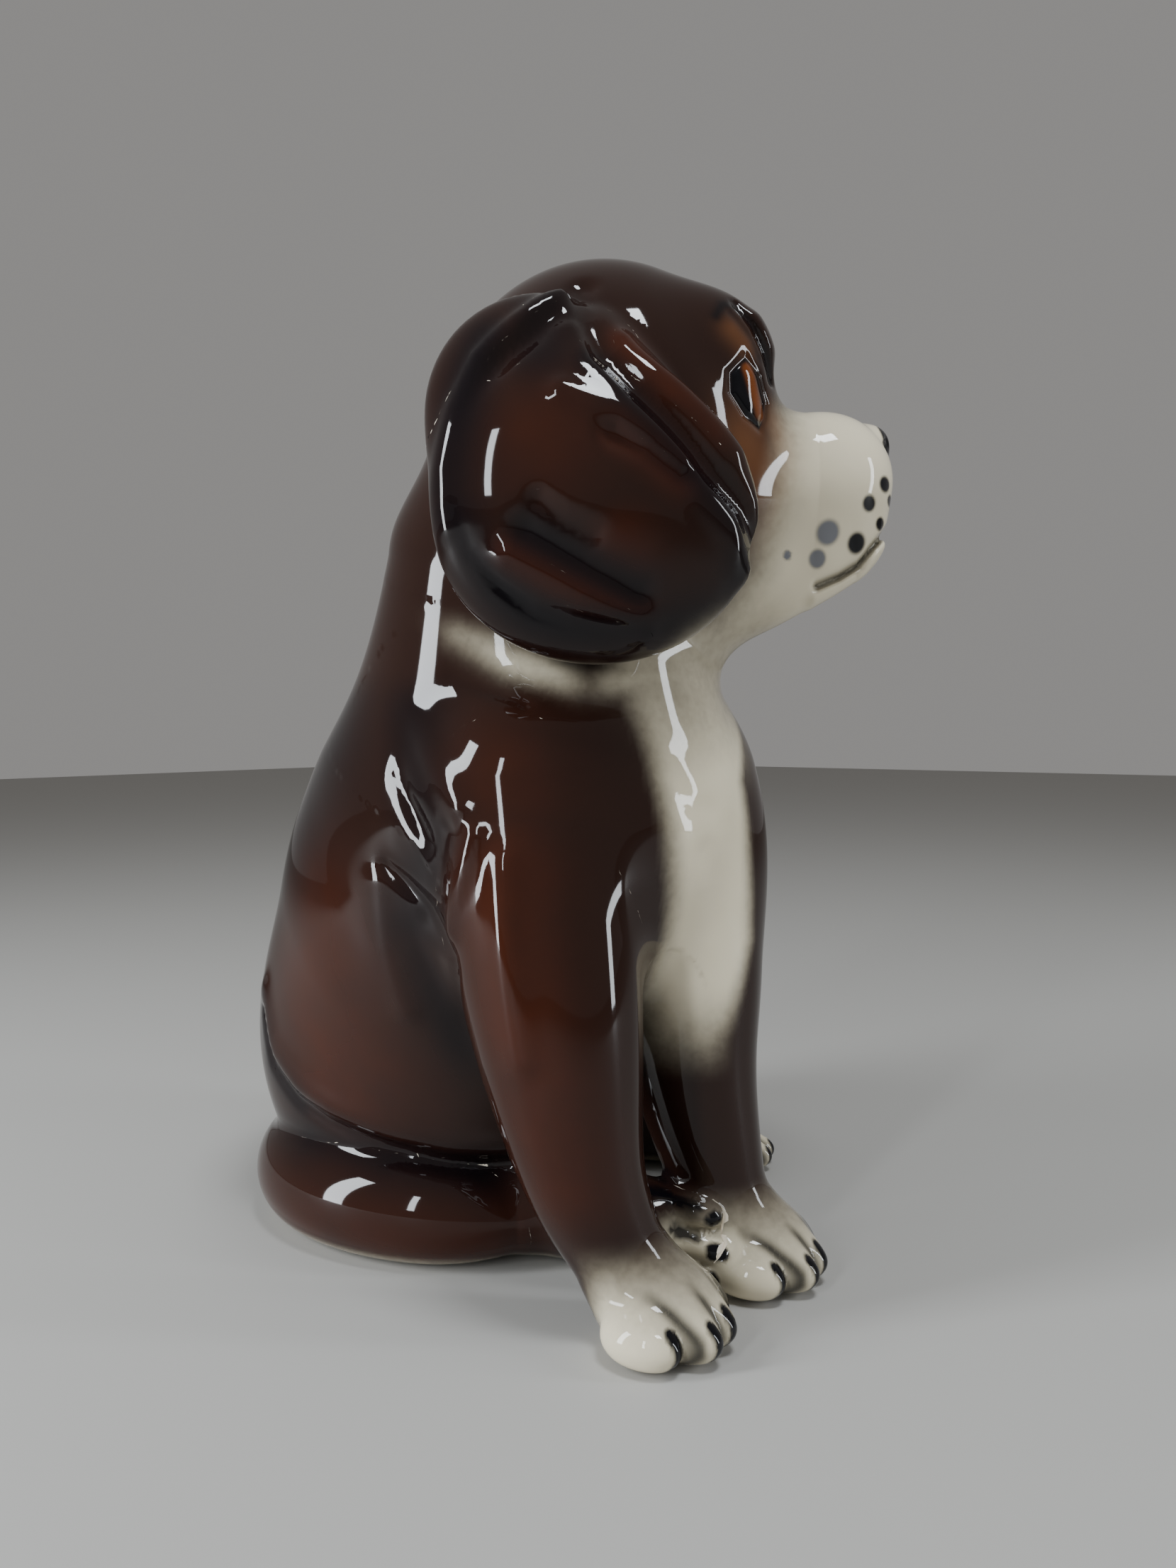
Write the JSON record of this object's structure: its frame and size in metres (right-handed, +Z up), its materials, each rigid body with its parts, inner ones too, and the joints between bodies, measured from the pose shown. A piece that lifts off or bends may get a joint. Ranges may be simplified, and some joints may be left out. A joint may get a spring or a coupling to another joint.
{
  "type": "ceramic dog figurine",
  "caption": "Sitting puppy figurine in glossy brown and cream glaze, slip-cast hollow, head turned to its left, on a flat underside.",
  "frame": {"origin": "middle of the whole figure's box, on the surface it stands on", "axes": "+Z up, the chest faces -Y, the dog's left side is +X"},
  "size_m": [0.1478, 0.1754, 0.2492],
  "materials": {
    "body_glaze": "high gloss",
    "head_glaze": "high gloss",
    "ear_glaze": "high gloss",
    "leg_glaze": "high gloss",
    "tail_glaze": "high gloss"
  },
  "bodies": {
    "root": {"body_shell": "body_glaze", "head_shell": "head_glaze", "ear_right": "ear_glaze", "ear_left": "ear_glaze", "foreleg_right": "leg_glaze", "foreleg_left": "leg_glaze", "hind_leg_right": "leg_glaze", "hind_leg_left": "leg_glaze", "tail": "tail_glaze"}
  },
  "joints": []
}
